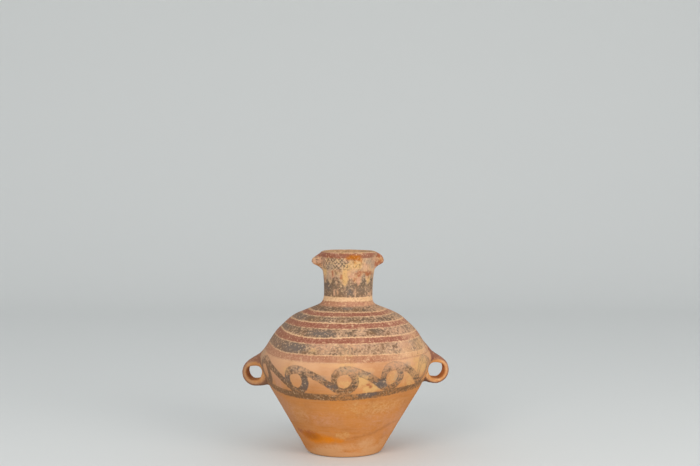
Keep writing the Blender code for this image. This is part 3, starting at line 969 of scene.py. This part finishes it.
class PotFinish(Finish):
    """Fired clay with its slip, paints, wear and stains, laid one over another."""

    def __init__(self):
        super().__init__("painted earthenware")
        self.height = self.plan("hand_height")
        self.dust = self.grain(0.0013, 2.0, 0.6, shift=2.0)
        self.speckle = self.grain(0.0040, 2.0, 0.55)
        self.flake = self.grain(0.0080, 3.0, 0.6, shift=3.0)
        self.drift = self.grain(0.026, 3.0, 0.55, shift=9.0)
        self.wiping = self.grain(0.012, 4.0, 0.6, scale=(0.35, 0.35, 3.0), shift=11.0)
        worn = self.math("MULTIPLY_ADD", self.dust, 0.16, self.times(self.speckle, 0.44))
        worn = self.math("MULTIPLY_ADD", self.drift, 0.14, worn)
        self.worn = self.math("MULTIPLY_ADD", self.flake, 0.26, worn)
        shake = self.grain(0.0040, 3.0)
        self.ragged = self.roughen(self.height, shake, BAND_SHAKE)
        self.steady = self.roughen(self.height, shake, LINE_SHAKE)
        self.painted = self.times(self.plan("outside"), self.math("SUBTRACT", 1.0, self.plan("on_handle")))
        self.colour = CLAY

    def lay(self, share, colour):
        """Put a colour over what is there already."""
        self.colour = self.blend(share, self.colour, colour)

    def patch(self, name, reach=0.30):
        """A soft patch with a broken, flaky edge."""
        broken = self.roughen(self.plan(name), self.worn, 3.0)
        share = self.span(broken, 0.42 - reach, 0.42 + reach)
        return self.times(share, self.span(self.plan(name), 0.02, 0.20))

    def lay_clay(self):
        """Clay of the body, paler on the shoulder and mottled on the neck."""
        self.lay(self.span(self.height, 112, 190), PALE_CLAY)
        cloud = self.grain(0.060, 3.0, 0.5, shift=7.0)
        self.lay(self.span(cloud, 0.44, 0.72, 0.0, 0.55), DARK_CLAY)
        self.lay(self.span(self.drift, 0.52, 0.72, 0.0, 0.35), DARK_CLAY)
        self.lay(self.span(self.wiping, 0.40, 0.75, 0.0, 0.22), PALE_CLAY)
        self.lay(self.times(self.patch("pale", 0.45), 0.75), FOOT_CLAY)
        on_neck = self.span(self.height, 296, 306)
        self.lay(self.times(on_neck, 0.65), NECK_CLAY)
        for shift, colour in ((31.0, GREY_CLAY), (37.0, YELLOW_CLAY), (43.0, PINK_CLAY), (47.0, BROWN_PAINT)):
            mottle = self.span(self.grain(0.0085, 3.0, 0.6, shift=shift), 0.50, 0.66, 0.0, 0.55)
            self.lay(self.times(mottle, on_neck), colour)
        self.lay(self.times(self.patch("yellow"), 0.80), YELLOW_CLAY)
        self.lay(self.times(self.patch("pink", 0.45), 0.75), PINK_CLAY)
        self.lay(self.times(self.patch("grey_and_shade", 0.40), 0.60), GREY_CLAY)
        smear = self.roughen(self.plan("smear"), self.flake, 14.0)
        self.lay(self.span(smear, -2.0, 3.0, 0.0, 0.50), DARK_CLAY)

    def lay_cream(self):
        """Thin lines of cream slip between the bands."""
        cream = self.times(self.bands(self.steady, CREAM_STRIPES, 0.5), self.painted)
        self.lay(self.times(cream, self.span(self.speckle, 0.36, 0.52, 0.35, 0.85)), CREAM_SLIP)

    def lay_red(self):
        """Red ochre bands, dusty where they are worn, and red stains, one also a painted shade under the
        right lug.
        """
        above = self.math("SUBTRACT", self.worn, self.plan("red_wear"))
        thin = self.span(above, -0.13, -0.03, 0.0, 0.42)
        left = self.math("ADD", thin, self.span(above, -0.04, 0.04, 0.0, 0.52))
        red = self.times(self.bands(self.ragged, RED_STRIPES, 0.7), left)
        red = self.most(red, self.bands(self.ragged, RED_LINES, 0.9))
        dusty = self.span(self.math("MULTIPLY_ADD", self.dust, 0.5, self.speckle), 0.70, 0.88)
        self.lay(self.times(red, self.painted), self.blend(dusty, RED_OCHRE, RED_DUST))
        self.lay(self.times(self.patch("red_stain_and_shade"), 0.75), STAIN_RED)

    def neck_net(self):
        """Thin crossed lines round the top of the neck, from the turn round the pot and the height."""
        parts = self.tree.nodes.new("ShaderNodeSeparateXYZ")
        self.feed(parts.inputs[0], self.place)
        forward = self.times(parts.outputs[1], -1.0)
        turn = self.math("ARCTAN2", self.math("SUBTRACT", parts.outputs[0], NECK_LEAN), forward)
        round_neck = self.times(turn, NECK_RADIUS)
        up = self.times(parts.outputs[2], 1000.0)
        crossed = []
        for way in ("ADD", "SUBTRACT"):
            across = self.roughen(self.math(way, round_neck, up), self.flake, 9.0)
            fold = self.math("PINGPONG", across, NET_PITCH / 2)
            crossed.append(self.span(fold, NET_LINE * 0.6, NET_LINE * 1.7, 1.0, 0.0))
        net = self.times(self.most(*crossed), self.bands(up, ((NET_LOW, NET_HIGH, 1.0),), 1.5))
        above = self.math("SUBTRACT", self.worn, self.plan("net_wear"))
        return self.times(net, self.span(above, -0.03, 0.04))

    def ink(self):
        """Colour of the black paint, browner low down and slate or purple in places."""
        ink = self.blend(self.span(self.drift, 0.45, 0.60), BLACK_PAINT, BROWN_PAINT)
        # Purple where the grey patches lie, on the left flank as painted shade
        ink = self.blend(self.patch("grey_and_shade", 0.35), ink, PURPLE_PAINT)
        ink = self.blend(self.span(self.height, 120, 134, 0.75, 0.0), ink, BROWN_PAINT)
        ink = self.blend(self.span(self.height, 276, 288, 0.0, 0.65), ink, NECK_PAINT)
        return self.blend(self.times(self.patch("slate", 0.40), 0.85), ink, SLATE_PAINT)

    def lay_black(self):
        """Black bands, scrolls, teeth and net: a thin wash, with dense paint left where it isn't worn."""
        banded = self.bands(self.ragged, BLACK_STRIPES, 0.9)
        strokes = self.roughen(self.plan("scroll"), self.grain(0.004, 3.0, shift=5.0), 3.8)
        scrolls = self.span(strokes, -0.8, 0.8)
        outline = self.times(scrolls, self.span(strokes, 0.6, 2.6, 1.0, 0.0))
        teeth = self.span(self.roughen(self.plan("teeth"), self.flake, 13.0), -1.6, 1.6)
        drawn = self.times(self.most(banded, self.most(scrolls, teeth)), self.painted)
        above = self.math("SUBTRACT", self.worn, self.plan("black_wear"))
        wash = self.times(drawn, self.span(above, -0.14, -0.03, 0.10, 0.60))
        wash = self.most(wash, self.times(self.times(banded, 0.20), self.painted))
        dense = self.times(drawn, self.span(above, -0.046, 0.046, 0.0, 0.84))
        lines = self.most(self.times(outline, 0.20), self.times(self.neck_net(), 0.95))
        self.black = self.most(dense, self.times(lines, self.painted))
        self.lay(wash, self.blend(self.span(self.height, 120, 185), THIN_BROWN, THIN_PAINT))
        self.lay(self.black, self.ink())

    def lay_dots(self):
        """Rows of cream dots, the remains of the slip under each red band."""
        dots = self.span(self.grain(0.0042, 1.0, 0.5, shift=17.0), 0.47, 0.56, 0.10, 0.85)
        rows = self.times(self.bands(self.steady, CREAM_DOTS, 0.4), self.painted)
        self.lay(self.times(rows, dots), CREAM_SLIP)

    def lay_stain(self):
        """Orange stains, browner up the neck and beside the red stains."""
        orange = self.blend(self.span(self.height, 100, 300, 0.0, 0.75), STAIN_ORANGE, STAIN_BROWN)
        orange = self.blend(self.span(self.plan("red_stain_and_shade"), 0.0, 0.9, 0.05, 0.80), orange, STAIN_BROWN)
        soaked = self.span(self.roughen(self.plan("stain"), self.flake, 1.6), 0.05, 1.05)
        soaked = self.times(soaked, self.span(self.plan("stain"), 0.02, 0.30))
        self.lay(self.times(soaked, 0.97), orange)

    def lay_specks(self):
        """Specks where the surface has flaked, more of them on the shoulder, the neck and the black."""
        where = self.most(self.span(self.height, 177, 184, 0.12, 1.0), self.black)
        fine = self.times(self.grain(0.0042, 2.0, 0.6, shift=51.0), 0.65)
        grit = self.math("MULTIPLY_ADD", self.dust, 0.35, fine)
        self.pale_specks = self.times(self.span(grit, 0.55, 0.63), where)
        self.lay(self.times(self.pale_specks, 0.62), CREAM_SLIP)
        self.lay(self.times(self.times(self.span(grit, 0.45, 0.37), where), 0.45), BROWN_PAINT)

    def lay_handles(self):
        """Dark red outside and above, unpainted orange clay within the loop, a painted highlight on the faces
        of each strap and a painted shadow line below.
        """
        self.lay(self.times(self.plan("handle_inner"), 0.85), HANDLE_ORANGE)
        # Painted highlight on each strap's faces, broken up in patches by noise
        highlight_share = self.span(self.flake, 0.38, 0.58, 0.10, 0.75)
        self.lay(self.times(self.plan("handle_edge"), highlight_share), HANDLE_HIGHLIGHT)
        paint_left = self.span(self.worn, 0.42, 0.50, 0.45, 0.85)
        self.lay(self.times(self.plan("handle_red"), paint_left), HANDLE_RED)
        # Painted shadow: a dark line along the underside of each loop
        self.lay(self.times(self.plan("handle_under"), 0.75), HANDLE_UNDER_SHADE)

    def set_surface(self):
        """Dry, slightly uneven surface, with paint a little proud and flakes a little sunk."""
        self.feed(self.shader.inputs["Base Color"], self.colour)
        self.feed(self.shader.inputs["Roughness"], self.span(self.speckle, 0.3, 0.7, 0.72, 0.92))
        self.shader.inputs["Specular IOR Level"].default_value = 0.15
        relief = self.math("MULTIPLY_ADD", self.wiping, 0.3, self.times(self.speckle, 0.35))
        relief = self.math("MULTIPLY_ADD", self.black, 0.10, relief)
        relief = self.math("MULTIPLY_ADD", self.pale_specks, -0.25, relief)
        bump = self.tree.nodes.new("ShaderNodeBump")
        bump.inputs["Strength"].default_value = 0.45
        bump.inputs["Distance"].default_value = 0.0012
        self.feed(bump.inputs["Height"], relief)
        self.feed(self.shader.inputs["Normal"], bump.outputs[0])


def painted_clay():
    """The pot's whole finish, from the bare clay out to the last stain."""
    finish = PotFinish()
    finish.lay_clay()
    finish.lay_cream()
    finish.lay_red()
    finish.lay_black()
    finish.lay_dots()
    finish.lay_stain()
    # Darker on the inner wall and the underside of the foot
    finish.lay(finish.span(finish.plan("outside"), 0.0, 0.6, 0.75, 0.0), INSIDE_DARKER)
    finish.lay_specks()
    finish.lay_handles()
    # Painted shade laid last over the left flank
    finish.lay(finish.times(finish.plan("flank_shade"), 0.35), FLANK_SHADE)
    finish.set_surface()
    return finish.material


pot = build_pot()
thin_inside(pot)
finish_clay(pot)
paint_plan(pot)
pot.data.materials.clear()
pot.data.materials.append(painted_clay())
set_stage()
light_studio()
set_camera()

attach(pot, "root")
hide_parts("jug")
